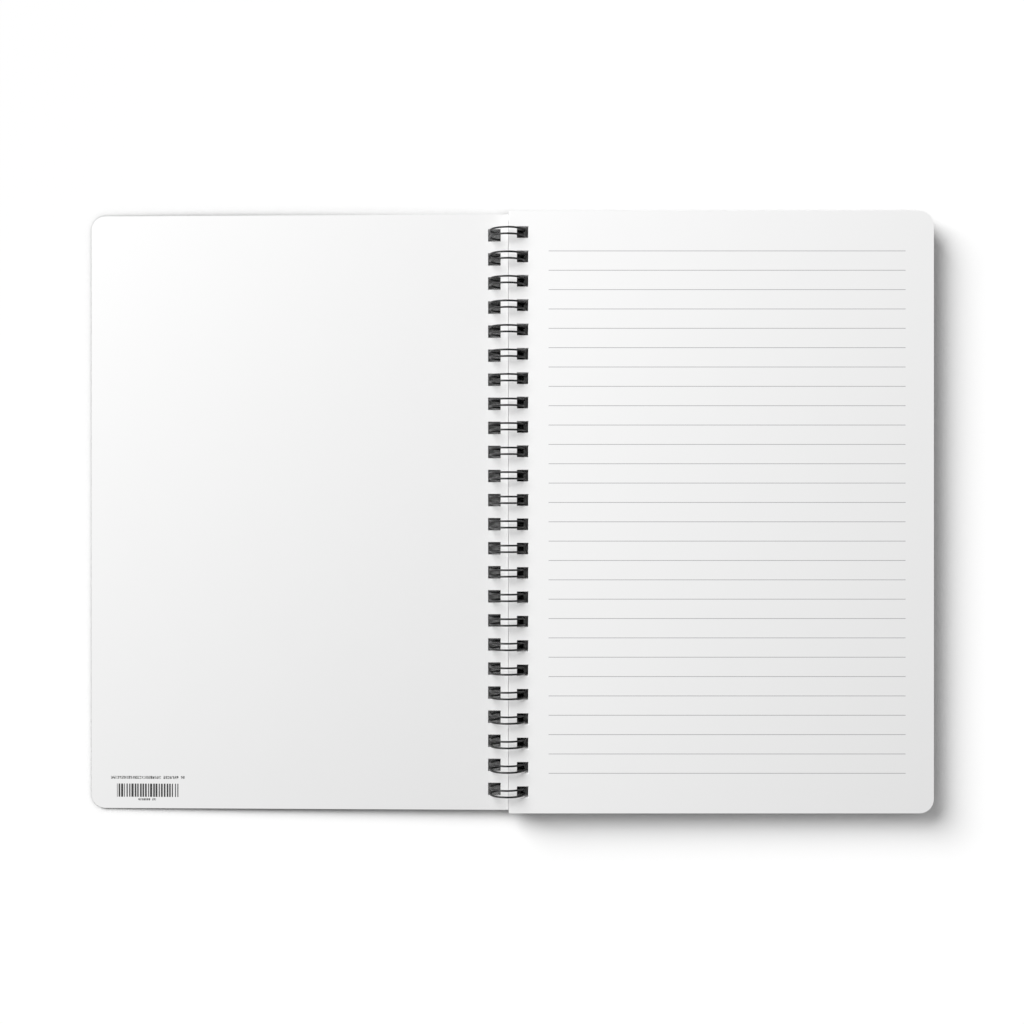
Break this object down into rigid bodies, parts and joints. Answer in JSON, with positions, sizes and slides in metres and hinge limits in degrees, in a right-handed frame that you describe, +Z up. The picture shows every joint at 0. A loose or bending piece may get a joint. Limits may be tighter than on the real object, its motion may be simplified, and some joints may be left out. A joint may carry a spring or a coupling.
{
  "type": "twin-loop wire-bound notebook",
  "caption": "Open A5 notebook with a black twin-loop wire spine: front cover turned over to the left, ruled page block lying on the back cover.",
  "frame": {"origin": "on the table, under the middle of the whole open notebook", "axes": "+X towards the fore-edge of the pages, +Y along the spine to the head of the page, +Z up"},
  "size_m": [0.2964, 0.21, 0.0127],
  "materials": {
    "cover_board": "smooth white board with a soft satin coat",
    "page_paper": "matt uncoated white writing paper, ruled in light grey",
    "black_wire": "black coated steel wire, semi-gloss"
  },
  "bodies": {
    "binding": {"wire_binding": "black_wire"},
    "front_cover": {"front_cover": "cover_board"},
    "pages": {"page_block": "page_paper"},
    "back_cover": {"back_cover": "cover_board"}
  },
  "joints": [
    {"name": "front_cover_turn", "type": "hinge", "parent": "binding", "child": "front_cover", "pos_m": [-0.00047, 0, 0.00635], "axis": [0, 1, 0], "range_deg": [0, 181.25]},
    {"name": "pages_turn", "type": "hinge", "parent": "binding", "child": "pages", "pos_m": [-0.00047, 0, 0.00635], "axis": [0, -1, 0], "range_deg": [0, 181.25]},
    {"name": "back_cover_turn", "type": "hinge", "parent": "binding", "child": "back_cover", "pos_m": [-0.00047, 0, 0.00635], "axis": [0, 1, 0], "range_deg": [0, 35]}
  ]
}
